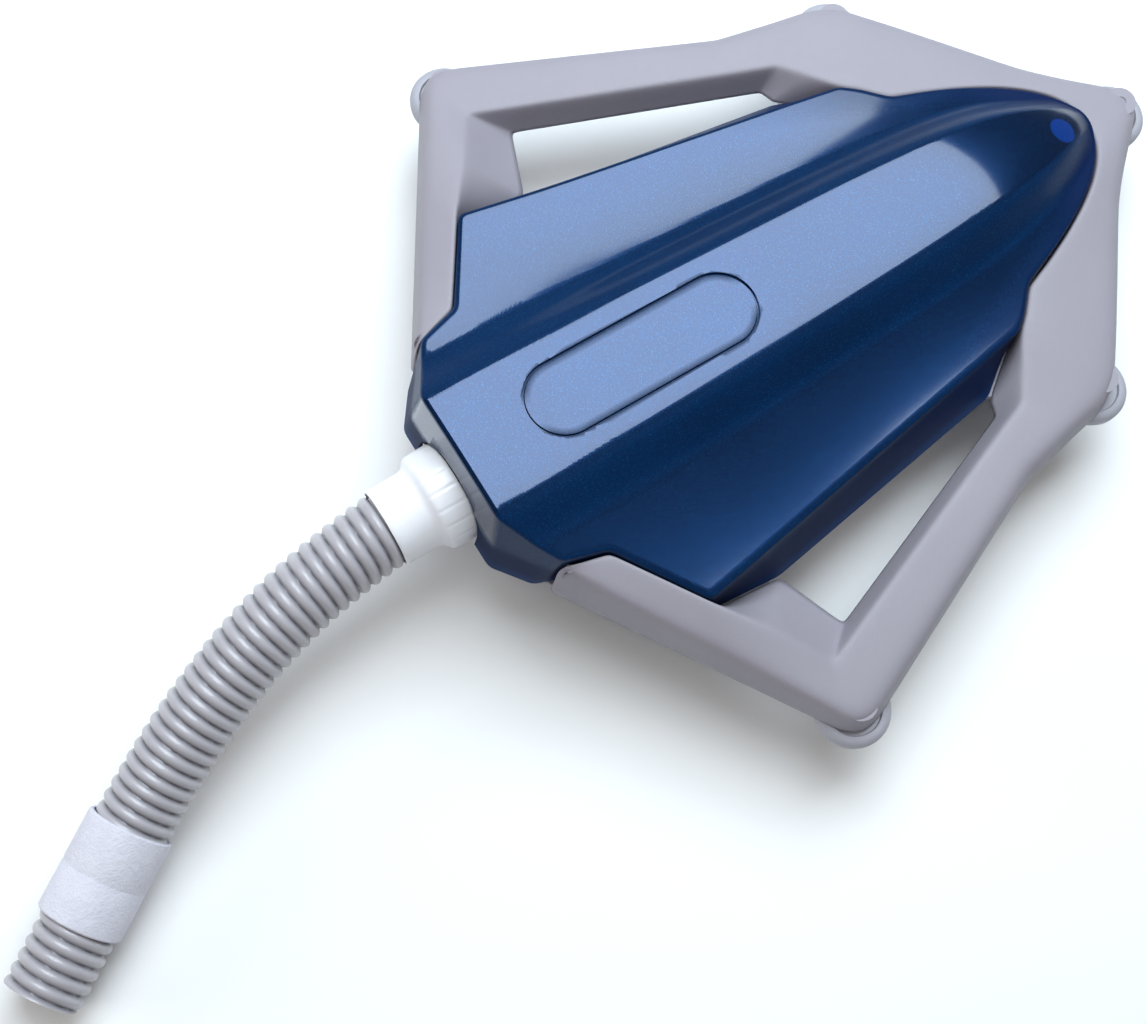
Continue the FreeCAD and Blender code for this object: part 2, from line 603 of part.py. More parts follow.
sleeve_a = vec(-425.5, -56.8, 31.0)
sleeve_b = vec(-470.0, -84.0, 24.2)
along = sleeve_b - sleeve_a
along.normalize()
sleeve = Part.makeCylinder(SLEEVE_R, SLEEVE_LENGTH, sleeve_a, along)
sleeve = sleeve.makeFillet(1.5, [e for e in sleeve.Edges if e.Closed and e.Length > 100])
add("hose_sleeve", sleeve.cut(Part.makeCylinder(HOSE_R + 0.2, SLEEVE_LENGTH, sleeve_a, along)))

# ---- debris bag, its collar, floats and ballast ----------------------------------------------------------
add("bag_collar", pipe(40.0, 33.0, (0, 0, TUBE_TOP_Z), (0, 0, TUBE_TOP_Z + 6)))
BAG_STATIONS = [(-44.0, 20.0, 92.0), (-36.0, 25.0, 97.0), (40.0, 22.5, 96.0), (100.0, 19.0, 93.0),
                (140.0, 12.0, 84.0), (152.0, 8.0, 78.0)]
bag_low = TUBE_TOP_Z + 6.3
bag_sections = []
for x, half, top in BAG_STATIONS:
    skirt = half * 1.75
    mid = bag_low + 9.0
    bag_sections.append([(x, -skirt, bag_low), (x, -skirt, mid), (x, -half, top), (x, half, top),
                         (x, skirt, mid), (x, skirt, bag_low)])
add("debris_bag", ruled(bag_sections).cut(rod(30.0, (0, 0, bag_low - 1), (0, 0, bag_low + 10))))

floats = []
for side in (1, -1):
    y0, y1 = sorted((38.0 * side, 56.0 * side))
    block = box((-128, y0, 20), (-62, y1, 50))
    floats.append(block.makeChamfer(3.0, block.Edges))
add("tub_floats", floats)
FLOAT_LOW = 89.0
float_sections = []
for x in (-178.0, -62.0):
    top = crown_z(x) - 2.0
    float_sections.append([(x, -16, FLOAT_LOW + 3), (x, -16, top), (x, 16, top), (x, 16, FLOAT_LOW + 3),
                           (x, 12, FLOAT_LOW), (x, -12, FLOAT_LOW)])
add("crown_float", ruled(float_sections))
weight = box((62, -30, TUB_FLOOR_Z + BASE_WALL), (108, 30, TUB_FLOOR_Z + BASE_WALL + 7))
add("ballast_weight", weight.cut(rod(2.2, (85, 0, 10), (85, 0, 30))))
add("ballast_screw", rod(2.15, (85, 0, TUB_FLOOR_Z + BASE_WALL), (85, 0, 22)).fuse(
    rod(4.5, (85, 0, 22), (85, 0, 24.5))))

for name, shape in nodes.items():
    solids = shape.Solids
    print(name, len(solids), shape.isValid(), round(sum(s.Volume for s in solids) / 1000, 1), "cm3")
    shape.exportStep("parts/" + name + ".step")
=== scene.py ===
import bmesh
import bpy
import math
from mathutils import Matrix, Vector, noise


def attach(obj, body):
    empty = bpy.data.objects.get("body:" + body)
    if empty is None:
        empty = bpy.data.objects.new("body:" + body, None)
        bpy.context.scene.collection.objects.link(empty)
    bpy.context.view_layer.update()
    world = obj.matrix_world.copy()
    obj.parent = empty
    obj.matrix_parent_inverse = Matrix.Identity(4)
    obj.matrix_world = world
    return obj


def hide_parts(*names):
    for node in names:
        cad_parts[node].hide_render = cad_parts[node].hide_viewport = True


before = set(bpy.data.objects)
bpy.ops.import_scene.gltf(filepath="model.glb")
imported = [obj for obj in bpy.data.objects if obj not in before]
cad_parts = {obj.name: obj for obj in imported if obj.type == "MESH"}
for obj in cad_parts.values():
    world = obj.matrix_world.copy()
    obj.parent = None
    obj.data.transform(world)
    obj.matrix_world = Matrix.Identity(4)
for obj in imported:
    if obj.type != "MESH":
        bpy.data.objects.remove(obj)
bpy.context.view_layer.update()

# ---- camera ------------------------------------------------------------------------------
# A camera above and behind the tail, turned so that the nose points to the upper right.
right = Vector((0.84547, -0.53133, 0.05349)).normalized()
down = Vector((-0.49998, -0.82279, -0.27027)).normalized()
ahead = right.cross(down)
camera = bpy.data.objects.new("camera", bpy.data.cameras.new("camera"))
bpy.context.scene.collection.objects.link(camera)
turn = Matrix((right, -down, -ahead)).transposed().to_4x4()
camera.matrix_world = Matrix.Translation((-0.3074, -0.1982, 0.8113)) @ turn
camera.data.sensor_width = 36.0
camera.data.lens = 48.4
camera.data.clip_start = 0.01
bpy.context.scene.camera = camera

# ---- supply hose ---------------------------------------------------------------------------
# The ribbed feed hose: soft grey plastic wound in a close spiral over a smooth bore.
# It slides onto the tailpiece inside the collar and lies down to the floor.


class Sock:
    """One shader socket. Sums and products of these build math nodes."""

    def __init__(self, tree, out):
        self.tree, self.out = tree, out

    def node(self, kind, out=0, ins=None, **settings):
        new = self.tree.nodes.new(kind)
        for name, value in settings.items():
            setattr(new, name, value)
        for name, value in (ins or {}).items():
            if isinstance(value, Sock):
                self.tree.links.new(value.out, new.inputs[name])
            else:
                new.inputs[name].default_value = value
        return Sock(self.tree, new.outputs[out])

    def math(self, operation, *others):
        ins = dict(enumerate((self,) + others))
        return self.node("ShaderNodeMath", ins=ins, operation=operation)

    def __add__(self, other): return self.math("ADD", other)
    def __radd__(self, other): return self.math("ADD", other)
    def __sub__(self, other): return self.math("SUBTRACT", other)
    def __rsub__(self, other): return self.math("MULTIPLY", -1.0).math("ADD", other)
    def __mul__(self, other): return self.math("MULTIPLY", other)
    def __rmul__(self, other): return self.math("MULTIPLY", other)
    def __pow__(self, other): return self.math("POWER", other)

    def ramp(self, low, high, start=0.0, end=1.0):
        return self.node("ShaderNodeMapRange", ins={0: self, 1: low, 2: high, 3: start, 4: end})

    def axis(self, name):
        return self.node("ShaderNodeSeparateXYZ", out="XYZ".index(name), ins={0: self})

    def noise(self, scale, detail=2.0):
        return self.node("ShaderNodeTexNoise", ins={"Vector": self, "Scale": scale, "Detail": detail})

    def cells(self, scale, out="Distance"):
        return self.node("ShaderNodeTexVoronoi", out=out, ins={"Vector": self, "Scale": scale})

    def mix(self, a, b):
        return self.node("ShaderNodeMix", out=2, ins={0: self, 6: a, 7: b}, data_type="RGBA")

    def bump(self, distance, strength=1.0):
        return self.node("ShaderNodeBump", ins={"Height": self, "Distance": distance, "Strength": strength})

    def into(self, name):
        self.tree.links.new(self.out, self.tree.nodes["Principled BSDF"].inputs[name])


def material(name, **constants):
    """A new material with these plain values, and the object's own coordinates to shade from."""
    new = bpy.data.materials.new(name)
    new.use_nodes = True
    tree = new.node_tree
    for key, value in constants.items():
        tree.nodes["Principled BSDF"].inputs[key.replace("_", " ")].default_value = value
    new.diffuse_color = constants.get("Base_Color", (0.5, 0.5, 0.5, 1.0))
    return new, Sock(tree, tree.nodes.new("ShaderNodeTexCoord").outputs["Object"])


def rgb(red, green, blue):
    """An opaque colour in linear values."""
    return (red, green, blue, 1.0)


def piece(name, bm, body, finish, slot, *stands_for, smooth=35.0):
    """Makes the object of a finished mesh and lets it ride with its body."""
    mesh = bpy.data.meshes.new(name)
    bm.to_mesh(mesh)
    bm.free()
    mesh.shade_smooth()
    mesh.set_sharp_from_angle(angle=math.radians(smooth))
    obj = bpy.data.objects.new(name, mesh)
    bpy.context.scene.collection.objects.link(obj)
    mesh.materials.append(finish)
    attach(obj, body)
    if stands_for:
        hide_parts(*stands_for)
    return obj


def ring_walls(bm, rings):
    """Quads between closed rings of vertices, one after another."""
    for low, high in zip(rings, rings[1:]):
        for i in range(len(low)):
            j = (i + 1) % len(low)
            bm.faces.new((low[i], low[j], high[j], high[i]))


# The hose's centre line in millimetres, from the collar to the bare end.
ROUTE = [(-244.4, -0.2, 64.9), (-281.1, -3.5, 63.9), (-327.5, -14.2, 57.7), (-373.2, -30.8, 46.0),
         (-416.7, -52.0, 33.5), (-458.9, -77.3, 24.8), (-500.8, -104.5, 22.2)]
HOSE_R = 0.01975
BORE_R = 0.0160
PITCH = 0.0070
RIB_DEPTH = 0.0027
STEPS_PER_RIB = 12
SIDES = 40

curve = bpy.data.curves.new("hose_route", "CURVE")
curve.dimensions = "3D"
curve.resolution_u = 64
spline = curve.splines.new("NURBS")
spline.points.add(len(ROUTE) - 1)
for point, place in zip(spline.points, ROUTE):
    point.co = (*(v / 1000 for v in place), 1.0)
spline.order_u = 3
spline.use_endpoint_u = True
route = bpy.data.objects.new("hose_route", curve)
bpy.context.scene.collection.objects.link(route)
line_mesh = bpy.data.meshes.new_from_object(route)
coarse = [v.co.copy() for v in line_mesh.vertices]
bpy.data.objects.remove(route)

gaps = [(b - a).length for a, b in zip(coarse, coarse[1:])]
hose_length = sum(gaps)


def on_hose(distance):
    """The point at that distance along the hose, with the hose's direction there."""
    left = min(max(distance, 0.0), hose_length)
    for a, b, gap in zip(coarse, coarse[1:], gaps):
        if left <= gap or b is coarse[-1]:
            return a + (b - a) * (left / gap), (b - a).normalized()
        left -= gap


count = int(hose_length / PITCH * STEPS_PER_RIB)
bm = bmesh.new()
# How deep each point lies in a groove between the ribs; the material paints shade there.
groove = bm.verts.layers.float.new("groove")
rings = []
for i in range(count + 1):
    along = hose_length * i / count
    here, heading = on_hose(along)
    across = heading.cross(Vector((0, 0, 1))).normalized()
    up = across.cross(heading).normalized()
    ring = []
    for k in range(SIDES):
        angle = 2 * math.pi * k / SIDES
        phase = (along / PITCH - angle / (2 * math.pi)) % 1.0
        crest = math.sin(math.pi * phase) ** 0.8
        radius = HOSE_R - RIB_DEPTH * (1.0 - crest)
        vert = bm.verts.new(here + (across * math.cos(angle) + up * math.sin(angle)) * radius)
        vert[groove] = 1.0 - crest
        ring.append(vert)
    rings.append(ring)
ring_walls(bm, rings)
bore = []
for i in range(count, -1, -STEPS_PER_RIB):
    here, heading = on_hose(hose_length * i / count)
    across = heading.cross(Vector((0, 0, 1))).normalized()
    up = across.cross(heading).normalized()
    bore.append([bm.verts.new(here + (across * math.cos(a) + up * math.sin(a)) * BORE_R)
                 for a in (2 * math.pi * k / SIDES for k in range(SIDES))])
ring_walls(bm, [rings[-1]] + bore + [rings[0]])
bmesh.ops.recalc_face_normals(bm, faces=bm.faces)

hose_grey, at = material("hose_grey", Base_Color=rgb(0.38, 0.365, 0.40), Roughness=0.34,
                         Coat_Weight=0.35, Coat_Roughness=0.12)
plain = at.noise(55.0, 4.0).mix(rgb(0.385, 0.365, 0.395), rgb(0.445, 0.425, 0.455))
# Painted shade: the grooves between the ribs are painted darker, darkest at the bottom of each groove.
groove_shade = at.node("ShaderNodeAttribute", out=2, attribute_name="groove")
(groove_shade.ramp(0.22, 0.88) * 0.88).mix(plain, rgb(0.125, 0.12, 0.14)).into("Base Color")
(at.noise(420.0) * 0.12 + 0.26).into("Roughness")
at.noise(900.0).bump(0.0004, 0.25).into("Normal")
hose = piece("supply_hose_ribbed", bm, "base", hose_grey, "hose_grey", "supply_hose", smooth=60.0)

# ---- hose sleeve -----------------------------------------------------------------------------
# A stiff white plastic sleeve with a fine grain and slightly eased ends. It grips the hose
# by its snug bore and stays where it is on it.
SLEEVE_START = Vector((-0.4255, -0.0568, 0.0310))
sleeve_axis = (Vector((-0.4700, -0.0840, 0.0242)) - SLEEVE_START).normalized()


def turned(profile, start, axis, sides=96):
    """A closed ring of (radius, distance) points, spun once round an axis."""
    bm = bmesh.new()
    axis = Vector(axis).normalized()
    side = axis.orthogonal().normalized()
    verts = [bm.verts.new(Vector(start) + side * r + axis * d) for r, d in profile]
    edges = [bm.edges.new((a, b)) for a, b in zip(verts, verts[1:] + verts[:1])]
    bmesh.ops.spin(bm, geom=verts + edges, cent=start, axis=axis, angle=2 * math.pi, steps=sides,
                   use_merge=True)
    bmesh.ops.recalc_face_normals(bm, faces=bm.faces)
    return bm


sleeve_profile = [
    (0.0200, 0.0), (0.0212, 0.0), (0.0219, 0.0008), (0.0220, 0.003), (0.0220, 0.0255),
    (0.0217, 0.0265), (0.0217, 0.0272), (0.0220, 0.0282), (0.0220, 0.049), (0.0219, 0.0512),
    (0.0212, 0.052), (0.0200, 0.052)]
bm = turned(sleeve_profile, SLEEVE_START, sleeve_axis)
sleeve_white, at = material("sleeve_white", Base_Color=rgb(0.64, 0.63, 0.71), Roughness=0.62)
at.noise(130.0, 5.0).mix(rgb(0.60, 0.59, 0.68), rgb(0.70, 0.69, 0.76)).into("Base Color")
(at.noise(600.0) * 0.2 + 0.52).into("Roughness")
(at.noise(350.0, 6.0) + at.cells(900.0) * 0.4).bump(0.0009, 0.5).into("Normal")
sleeve = piece("hose_sleeve_grained", bm, "base", sleeve_white, "white_plastic", "hose_sleeve")

# ---- hose collar -----------------------------------------------------------------------------
# The white swivel collar at the tail: a wide grip with fine flutes, stepped down to a smooth
# neck. It is moulded in hard plastic and turns on the tailpiece, round the hose's end.
COLLAR_X = -0.2115
COLLAR_Z = 0.065
FLUTES = 18
FLUTE_DEPTH = 0.0003
GRIP_FROM = 0.0245
collar_profile = [
    (0.0165, 0.005), (0.0165, -0.0305), (0.0200, -0.0305), (0.0200, -0.0350), (0.0206, -0.0350),
    (0.0210, -0.0343), (0.0211, -0.032), (0.0212, -0.016), (0.0222, -0.0135), (0.0242, -0.0120),
    (0.0252, -0.0112), (0.0260, -0.0100), (0.0262, -0.008), (0.0265, -0.003), (0.0265, 0.003),
    (0.0262, 0.0045), (0.0258, 0.005)]
bm = turned(collar_profile, (COLLAR_X, 0.0, COLLAR_Z), (1, 0, 0), sides=240)
for v in bm.verts:
    y, z = v.co.y, v.co.z - COLLAR_Z
    radius, angle = math.hypot(y, z), math.atan2(z, y)
    if radius > GRIP_FROM:
        dip = max(0.0, math.cos(angle * FLUTES)) ** 8 * FLUTE_DEPTH
        v.co.y, v.co.z = y * (radius - dip) / radius, COLLAR_Z + z * (radius - dip) / radius
collar_white, at = material("collar_white", Base_Color=rgb(0.83, 0.83, 0.87), Roughness=0.32, Coat_Weight=0.2)
at.noise(90.0, 3.0).mix(rgb(0.79, 0.79, 0.845), rgb(0.86, 0.86, 0.89)).into("Base Color")
(at.noise(300.0) * 0.12 + 0.26).into("Roughness")
at.noise(700.0).bump(0.0003, 0.2).into("Normal")
piece("hose_collar_fluted", bm, "collar", collar_white, "white_plastic", "hose_collar", smooth=50.0)

# ---- bumper frame -----------------------------------------------------------------------------
# The grey moulded frame round the shell: open underneath, with broad arms, two windows and a
# thin web round the nose. Screws from below hold it to the base's flange.
FRAME_Z = 0.056
FRAME_WALL = 0.0032
NOSE_X = 195.0


def offset(line, distance):
    """Moves an open line sideways, to the left of its direction when distance is positive."""
    moved = []
    for i, (x, y) in enumerate(line):
        nx = ny = n = 0
        for a, b in ((i - 1, i), (i, i + 1)):
            if a >= 0 and b < len(line):
                dx, dy = line[b][0] - line[a][0], line[b][1] - line[a][1]
                run = math.hypot(dx, dy)
                nx, ny, n = nx - dy / run, ny + dx / run, n + 1
        scale = distance * n / (nx * nx + ny * ny)
        if y == 0.0:
            moved.append((x + math.copysign(distance, nx * distance), 0.0))
        else:
            moved.append((x + nx * scale, y + ny * scale))
    return moved


def nose_x(y):
    """How far forward the shell's round nose reaches at that distance from the middle."""
    return NOSE_X - 89.0 * (abs(y) / 63.1) ** 2.1


NOSE = [(nose_x(y), y) for y in (57, 50, 43, 36, 29, 22, 15, 8)] + [(NOSE_X, 0.0)]
# The frame's inner edge follows the shell's outline, with a thin gap.
seam_rear = offset([(-185.5, 66.5), (-162.5, 73.0), (-132.5, 118.6), (-88.9, 122.6)], 0.4)
seam_front = offset([(60.2, 100.6), (85.0, 83.0), (94.3, 75.6), (106.0, 63.1)] + NOSE, 1.2)
nose_in = seam_front[4:]
# From the arm's end round to the nose, in millimetres: outer foot, inner top, inner foot, height
# of the outer top edge, height of the inner top edge.
stations = [
    ((-192.4, 68.0), (-184.6, 68.0), (-189.0, 65.8), 88.0, 92.0),
    ((-173.4, 98.0), seam_rear[1], seam_rear[1], 85.0, 93.0),
    ((-143.0, 146.0), seam_rear[2], seam_rear[2], 79.0, 90.0),
    ((-124.0, 176.0), (-113.0, 145.5), seam_rear[3], 75.0, 81.5),
    ((-106.3, 204.0), (-96.0, 171.0), (-75.5, 157.5), 71.5, 73.2),
    ((-99.5, 209.8), (-94.0, 172.8), (-74.0, 159.4), 71.0, 73.0),
    ((-89.5, 209.4), (-91.0, 172.2), (-71.0, 158.6), 71.0, 73.0),
    ((-79.8, 205.4), (-80.0, 168.0), (-60.0, 154.5), 71.3, 73.0),
    ((50.0, 149.4), (45.0, 121.4), (42.0, 117.0), 71.5, 72.8),
    ((84.0, 142.5), (66.9, 113.3), (57.5, 111.3), 71.5, 73.0),
    ((107.0, 138.3), (78.0, 98.5), seam_front[0], 71.5, 75.5),
    ((117.5, 133.2), seam_front[1], seam_front[1], 71.3, 78.3),
    ((125.0, 127.0), seam_front[2], seam_front[2], 71.0, 78.5),
    ((140.0, 109.0), seam_front[3], seam_front[3], 71.0, 78.5),
    ((154.0, 91.7), nose_in[0], nose_in[0], 71.0, 78.0),
    ((168.0, 74.2), nose_in[1], nose_in[1], 70.8, 77.5),
    ((180.0, 59.2), nose_in[2], nose_in[2], 70.5, 77.0),
    ((188.0, 49.5), nose_in[3], nose_in[3], 70.0, 76.0),
    ((198.0, 39.5), nose_in[4], nose_in[4], 69.5, 75.0),
    ((209.0, 29.0), nose_in[5], nose_in[5], 69.0, 74.0),
    ((223.0, 17.0), nose_in[6], nose_in[6], 68.5, 73.0),
    ((232.5, 8.5), nose_in[7], nose_in[7], 68.0, 72.0),
    ((235.0, 0.0), (197.0, 0.0), (197.0, 0.0), 68.0, 71.5),
]
edge_out = offset([s[0] for s in stations], -4.2)
sections = []
for (foot, top_in, foot_in, z_out, z_in), top_out in zip(stations, edge_out):
    sections.append([Vector((*foot, 56.0)) / 1000, Vector((*top_out, z_out)) / 1000,
                     Vector((*top_in, z_in)) / 1000, Vector((*foot_in, 56.0)) / 1000])


def towards(a, b, distance):
    """The point that distance from a on the way to b, and never past the middle."""
    return a + (b - a) * min(0.45, distance / max((b - a).length, 1e-6))


def strip(section):
    """The section's skin from the outer foot over the top to the inner foot, ready to be rounded."""
    foot, out, inn, last = section
    return [foot, foot.lerp(out, 0.45), towards(out, foot, 0.0034), towards(out, inn, 0.0034),
            out.lerp(inn, 0.5), towards(inn, out, 0.0016), towards(inn, last, 0.0016),
            inn.lerp(last, 0.6), last]


# Extra sections near the corners of long runs keep those corners crisp when they are rounded.
dense = [sections[0]]
for a, b in zip(sections, sections[1:]):
    length = (a[0] - b[0]).length
    if length > 0.022:
        near, far = 0.006 / length, 1 - 0.006 / length
        dense.append([p.lerp(q, near) for p, q in zip(a, b)])
        if length > 0.07:
            dense += [[p.lerp(q, t) for p, q in zip(a, b)] for t in (0.25, 0.5, 0.75)]
        dense.append([p.lerp(q, far) for p, q in zip(a, b)])
    dense.append(b)
half = [strip(s) for s in dense]
other = [[Vector((p.x, -p.y, p.z)) for p in s] for s in reversed(half[:-1])]
bm = bmesh.new()
rows = [[bm.verts.new(p) for p in s] for s in half + other]
for low, high in zip(rows, rows[1:]):
    for i in range(len(low) - 1):
        bm.faces.new((low[i], high[i], high[i + 1], low[i + 1]))
for row in (rows[0], rows[-1]):
    bm.faces.new(row)
bmesh.ops.recalc_face_normals(bm, faces=bm.faces)
frame_grey, at = material("frame_grey", Base_Color=rgb(0.32, 0.29, 0.33), Roughness=0.6)
at.noise(18.0, 4.0).mix(rgb(0.283, 0.263, 0.304), rgb(0.313, 0.292, 0.336)).into("Base Color")
(at.noise(260.0) * 0.16 + 0.50).into("Roughness")
(at.noise(1500.0, 3.0) + at.cells(2200.0) * 0.5).bump(0.0003, 0.35).into("Normal")
bumper = piece("bumper_frame_moulded", bm, "base", frame_grey, "grey_frame", "bumper_frame", smooth=180.0)
rounding = bumper.modifiers.new("rounding", "SUBSURF")
rounding.levels = rounding.render_levels = 2
rounding.boundary_smooth = "PRESERVE_CORNERS"
wall = bumper.modifiers.new("wall", "SOLIDIFY")
wall.thickness = FRAME_WALL
wall.offset = -1.0

# ---- frame bosses -------------------------------------------------------------------------------
# Round posts moulded inside the frame, in the same grey plastic. Five take the roller pins and
# ten take the screws that hold the frame to the base.
ROLLERS = {"rear_left": (-94.0, 198.0), "rear_right": (-94.0, -198.0), "front_left": (114.0, 124.5),
           "front_right": (114.0, -124.5), "nose": (222.5, 0.0)}
SCREWS = [(x, y * s) for s in (1, -1)
          for x, y in ((-166.5, 86.0), (-139.0, 128.0), (84.0, 101.0), (114.0, 78.0), (164.0, 53.0))]
POST_H = 0.0125
posts = [(p, 0.0085, 0.003) for p in ROLLERS.values()] + [(p, 0.0045, 0.002) for p in SCREWS]
bm = bmesh.new()
for (x, y), radius, bore in posts:
    post = [(bore, 0.0), (radius, 0.0), (radius, POST_H), (bore, POST_H)]
    extra = turned(post, (x / 1000, y / 1000, FRAME_Z), (0, 0, 1), sides=28)
    mesh = bpy.data.meshes.new("post")
    extra.to_mesh(mesh)
    extra.free()
    bm.from_mesh(mesh)
    bpy.data.meshes.remove(mesh)
piece("frame_bosses", bm, "base", frame_grey, "grey_frame")

# ---- top shell ------------------------------------------------------------------------------------
# The translucent blue lid: a long crown with a valley on each side and two flat wings, moulded
# in plastic with metallic flake. It hinges at its nose and snaps shut along its rim.
RIM = 57.3
TAIL_X = -203.4
ROUND = 2.6
COLUMNS = 46
SHELL_WALL = 0.0025
ARCH_R = 0.0282
PILL_R = 20.5
STATIONS = [  # x, crown height, crown half width, valley (y, z), wing edge (y, z)
    (-216.0, 113.0, 32.0, 50.0, 99.5, 116.0, 93.5), (-160.0, 111.0, 31.5, 50.0, 97.5, 122.8, 92.0),
    (-132.5, 110.0, 31.2, 49.5, 95.5, 118.6, 90.0), (-80.0, 108.1, 30.5, 48.0, 91.5, 110.0, 86.0),
    (0.0, 105.3, 28.0, 45.0, 88.5, 97.0, 84.0), (60.0, 103.1, 25.5, 42.5, 86.8, 87.1, 82.6),
    (105.0, 101.5, 22.5, 38.0, 85.0, 80.0, 80.5), (135.0, 98.0, 19.0, 32.0, 83.0, 75.5, 79.0),
    (160.0, 92.5, 14.0, 24.0, 79.0, 71.0, 77.0), (180.0, 84.5, 9.0, 15.0, 76.0, 66.0, 74.0),
    (196.0, 74.5, 5.0, 9.0, 72.0, 62.0, 70.0)]


def eased(table, x):
    """Smooth values between the table's rows (first column x)."""
    x = min(max(x, table[0][0]), table[-1][0])
    i = max(k for k in range(len(table) - 1) if table[k][0] <= x)
    a, b = table[i], table[i + 1]
    p, q = table[max(i - 1, 0)], table[min(i + 2, len(table) - 1)]
    span = b[0] - a[0]
    t = (x - a[0]) / span
    values = []
    for k in range(1, len(a)):
        m0 = (b[k] - p[k]) / (b[0] - p[0]) * span
        m1 = (q[k] - a[k]) / (q[0] - a[0]) * span
        values.append((2 * t**3 - 3 * t**2 + 1) * a[k] + (t**3 - 2 * t**2 + t) * m0
                      + (3 * t**2 - 2 * t**3) * b[k] + (t**3 - t**2) * m1)
    return values


def shell_z(x, y):
    """Height of the shell's top face: crown, steep side down to the valley, then the flat wing."""
    crown, wide, valley_y, valley_z, wing_y, wing_z = eased(STATIONS, x)
    y = abs(y)
    foot = valley_y + 7.0
    if y <= wide:
        return crown + 1.0 - 1.4 * (y / wide) ** 2
    if y < foot:
        span = foot - wide
        t = (y - wide) / span
        m0, m1 = -4.0 / wide * span, -0.12 * span
        return ((2 * t**3 - 3 * t**2 + 1) * (crown - 0.4) + (t**3 - 2 * t**2 + t) * m0
                + (3 * t**2 - 2 * t**3) * valley_z + (t**3 - t**2) * m1)
    t = min(1.6, (y - foot) / (wing_y - foot))
    return valley_z + (wing_z - valley_z) * t - 0.12 * (wing_y - foot) * t * (1 - t) * 0.6


def eased_corners(line, cut):
    """Replaces each corner of a line by a short curve."""
    out = [line[0]]
    for a, b, c in zip(line, line[1:], line[2:]):
        back, on = (a - b), (c - b)
        start = b + back * min(0.4, cut / back.length)
        end = b + on * min(0.4, cut / on.length)
        for t in (0.0, 0.25, 0.5, 0.75, 1.0):
            out.append(start.lerp(b, t).lerp(b.lerp(end, t), t))
    return out + [line[-1]]


# Top edge (x, y) and rim (x, y) as one line of four-part points, from the tail round to the nose.
edge = [((TAIL_X, 0), (-212, 0)), ((TAIL_X, 35.7), (-212, 42)), ((-185.5, 66.5), (-197.5, 61.5)),
        ((-162.5, 73), (-162.5, 73)), ((-132.5, 118.6), (-132.5, 118.6)), ((-88.9, 111.4), (-88.9, 122.6)),
        ((60.2, 87), (60.2, 100.6)), ((85, 82.9), (85, 83)), ((94.3, 75.6), (94.3, 75.6)),
        ((106, 63.1), (106, 63.1))]
edge = [Vector((*a, *b)) for a, b in edge]
edge = eased_corners(edge + [Vector((nose_x(57), 57, nose_x(57), 57))], 5.0)[:-1]
for k in range(1, 34):
    y = 57.0 * (1 - k / 33)
    edge.append(Vector((nose_x(y), y, nose_x(y), y)))
line = [edge[0]]
for a, b in zip(edge, edge[1:]):
    parts = max(1, round((b - a).length / 4.0))
    line += [a.lerp(b, k / parts) for k in range(1, parts + 1)]
top = [(p[0], max(p[1], 0.0)) for p in line]
top[-1] = (NOSE_X, 0.0)
inner = offset(top, -ROUND)

# The top face: one row of points across for each point of the edge, in from it by the rounding.
bm = bmesh.new()
tail_count = max(i for i, p in enumerate(top) if p[0] < TAIL_X + 0.01)
rows = []
tail_row = []
for k in range(COLUMNS + 1):
    x, y = TAIL_X + ROUND, inner[tail_count][1] * k / COLUMNS
    tail_row.append(bm.verts.new((x, y, shell_z(x, y))))
rows.append(tail_row)
for x, y in inner[tail_count + 1:]:
    spread = [y * k / COLUMNS for k in range(COLUMNS + 1)]
    rows.append([bm.verts.new((x, aside, shell_z(x, aside))) for aside in spread])
for low, high in zip(rows, rows[1:]):
    for k in range(COLUMNS):
        bm.faces.new((low[k], high[k], high[k + 1], low[k + 1]))

# The walls: a quarter round over the edge, then straight down to the rim, which steps up over
# the hinge at the nose.
border = tail_row + [row[-1] for row in rows[1:]]
rims = []
for k in range(COLUMNS + 1):
    rims.append((Vector((TAIL_X, border[k].co.y)), Vector((-212.0, border[k].co.y * 42 / 35.7))))
for p, q in zip(top[tail_count + 1:], line[tail_count + 1:]):
    rims.append((Vector(p), Vector((q[2], max(q[3], 0.0)))))
walls = [[v] for v in border]
for (crest, rim), v, column in zip(rims, border, walls):
    x, y, z = v.co
    low = RIM if rim.x < 148 else RIM + 3.2 * min(1.0, (rim.x - 148) / 4)
    for step in (1, 2, 3, 4):
        angle = math.pi / 2 * step / 4
        reach = crest - Vector((x, y))
        drop = ROUND * (1 - math.cos(angle))
        column.append((x + reach.x * math.sin(angle), y + reach.y * math.sin(angle), z - drop))
    for t in (0.08, 0.25, 0.5, 0.75, 0.92, 1.0):
        flat = crest.lerp(rim, t)
        column.append((flat.x, flat.y, z - ROUND + (low - z + ROUND) * t))
columns = [[c[0]] + [bm.verts.new(p) for p in c[1:]] for c in walls]
for a, b in zip(columns, columns[1:]):
    for k in range(len(a) - 1):
        bm.faces.new((a[k], b[k], b[k + 1], a[k + 1]))
bmesh.ops.scale(bm, vec=(0.001, 0.001, 0.001), verts=bm.verts)
bmesh.ops.remove_doubles(bm, verts=bm.verts, dist=0.00002)
bmesh.ops.mirror(bm, geom=bm.verts[:] + bm.edges[:] + bm.faces[:], axis="Y", merge_dist=0.00002)
bmesh.ops.remove_doubles(bm, verts=bm.verts, dist=0.00002)
bmesh.ops.dissolve_degenerate(bm, edges=bm.edges, dist=0.00001)
bmesh.ops.recalc_face_normals(bm, faces=bm.faces)
if sum(f.normal.z for f in bm.faces) < 0:
    bmesh.ops.reverse_faces(bm, faces=bm.faces)

